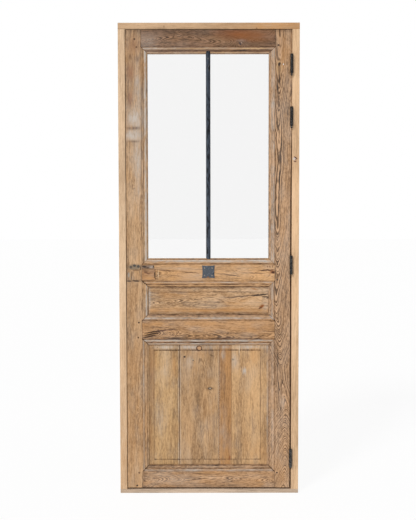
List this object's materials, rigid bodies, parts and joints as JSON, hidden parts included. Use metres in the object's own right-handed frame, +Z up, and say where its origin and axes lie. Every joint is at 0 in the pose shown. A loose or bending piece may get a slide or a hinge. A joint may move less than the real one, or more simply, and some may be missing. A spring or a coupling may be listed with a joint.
{
  "type": "door",
  "caption": "Old oak door leaf with a tall glazed light behind an iron bar, a panelled foot and patched lock rail, hung on lift-off hinges in a plain new oak frame.",
  "frame": {"origin": "centre of the sill's underside, in the middle of the frame's width and depth", "axes": "+Z up, +X towards the hinge side, -Y the front, on which the hinge barrels stand"},
  "size_m": [0.89, 0.0812, 2.33],
  "materials": {
    "new_oak": "planed, bare",
    "sill_oak": "planed, bare, greyer",
    "old_oak": "weathered, brushed",
    "board_oak": "weathered, brushed",
    "brown_oak": "weathered, redder",
    "patch_oak": "let-in patch, stained",
    "peg_oak": "end grain, blackened",
    "forged_iron": "blue-grey, waxed, worn",
    "black_hinge": "satin black",
    "clear_glass": "clear, polished"
  },
  "bodies": {
    "frame": {"frame_head": "new_oak", "frame_sill": "sill_oak", "frame_jamb_latch": "new_oak", "frame_jamb_hinge": "new_oak", "hinge_1_jamb_half": "black_hinge", "hinge_2_jamb_half": "black_hinge", "hinge_3_jamb_half": "black_hinge", "hinge_4_jamb_half": "black_hinge"},
    "leaf": {"stile_latch": "old_oak", "stile_hinge": "old_oak", "rail_top": "old_oak", "rail_middle": "old_oak", "rail_lock": "old_oak", "rail_bottom": "old_oak", "panel_small": "board_oak", "panel_lower_board_1": "board_oak", "panel_lower_board_2": "board_oak", "panel_lower_board_3": "brown_oak", "panel_lower_board_4": "board_oak", "glass_pane": "clear_glass", "glazing_bar": "forged_iron", "glazing_bead_top": "old_oak", "glazing_bead_bottom": "old_oak", "glazing_bead_latch": "old_oak", "glazing_bead_hinge": "old_oak", "iron_plate": "forged_iron", "patch_stile": "patch_oak", "patch_rail": "patch_oak", "patch_rail_sliver": "peg_oak", "hinge_1_leaf_half": "black_hinge", "hinge_2_leaf_half": "black_hinge", "hinge_3_leaf_half": "black_hinge", "hinge_4_leaf_half": "black_hinge", "peg_top_latch_outer": "peg_oak", "peg_top_latch_inner": "peg_oak", "peg_top_hinge": "peg_oak", "peg_middle_hinge_high": "peg_oak", "peg_middle_hinge_low": "peg_oak", "peg_lock_latch_high": "peg_oak", "peg_lock_latch_low": "peg_oak", "peg_bottom_latch_high": "peg_oak", "peg_bottom_latch_low": "peg_oak", "peg_bottom_hinge": "peg_oak", "plate_nail_1": "forged_iron", "plate_nail_2": "forged_iron", "plate_nail_3": "forged_iron", "plate_nail_4": "forged_iron"}
  },
  "joints": [
    {"name": "leaf_hinge", "type": "hinge", "parent": "frame", "child": "leaf", "pos_m": [0.4055, -0.0411, 0], "axis": [0, 0, 1], "range_deg": [0, 180]}
  ]
}
